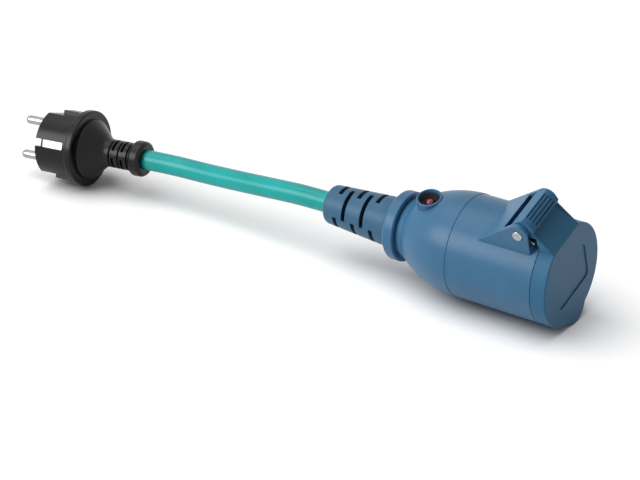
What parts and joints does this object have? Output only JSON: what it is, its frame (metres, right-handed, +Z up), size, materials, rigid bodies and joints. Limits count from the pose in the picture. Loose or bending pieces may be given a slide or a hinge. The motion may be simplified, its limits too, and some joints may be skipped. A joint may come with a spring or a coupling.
{
  "type": "power plug adapter lead",
  "caption": "Short teal cable joins a black earthed plug with round pins to a round blue coupler socket that has a sprung hinged lid and a red lamp.",
  "frame": {"origin": "centre of the contact carrier's front face, on the socket's axis", "axes": "+X out of the coupler socket along its axis, +Z up as the part lies on its keyway ridge, +Y to the side"},
  "size_m": [0.3329, 0.0545, 0.0685],
  "materials": {
    "shell_blue": "satin moulded polyamide",
    "lid_blue": "satin moulded polyamide",
    "boot_blue": "matt flexible moulding",
    "black_rubber": "matt",
    "plug_rubber": "fine matt grain",
    "plug_hard": "satin",
    "carrier_plastic": "satin",
    "steel": "bright drawn steel",
    "spring_steel": "bright drawn wire",
    "nickel": "polished nickel plate",
    "brass": "turned brass",
    "red_lens": "clear glossy epoxy",
    "board": "matt laminate",
    "resistor_body": "satin lacquer",
    "lead_insulation": "satin",
    "cable_jacket": "smooth satin",
    "line_insulation": "satin",
    "neutral_insulation": "satin",
    "earth_insulation": "satin"
  },
  "bodies": {
    "housing": {"front_housing": "shell_blue", "rear_housing": "shell_blue", "hinge_pin": "steel", "lid_spring": "spring_steel", "line_carrier": "carrier_plastic", "neutral_carrier": "carrier_plastic", "earth_carrier": "carrier_plastic", "retaining_plate": "carrier_plastic", "line_contact": "brass", "neutral_contact": "brass", "earth_contact": "brass", "terminal_screws": "steel", "housing_seal": "black_rubber", "indicator_led": "red_lens", "led_board": "board", "series_resistor": "resistor_body", "led_leads": "lead_insulation", "gland_nut": "shell_blue", "cable_grommet": "black_rubber", "clamp_claw": "carrier_plastic", "bend_boot": "boot_blue", "cable_end": "cable_jacket", "line_core": "line_insulation", "neutral_core": "neutral_insulation", "earth_core": "earth_insulation", "cable": "cable_jacket", "plug_body": "plug_rubber", "plug_insert": "plug_hard", "line_pin": "nickel", "neutral_pin": "nickel", "plug_screws": "steel", "earth_clips": "nickel", "earth_bridge": "brass", "earth_socket": "brass", "plug_cable_end": "cable_jacket", "plug_line_core": "line_insulation", "plug_neutral_core": "neutral_insulation", "plug_earth_core": "earth_insulation"},
    "lid": {"lid": "lid_blue", "lid_gasket": "black_rubber"}
  },
  "joints": [
    {"name": "lid_hinge", "type": "hinge", "parent": "housing", "child": "lid", "pos_m": [-0.0069, -0.01028, 0.02946], "axis": [0, -0.9441, -0.3295], "range_deg": [0, 110], "stiffness_Nm_per_rad": 0.04, "springref_deg": -34.38, "deforming": ["lid_spring"]}
  ]
}
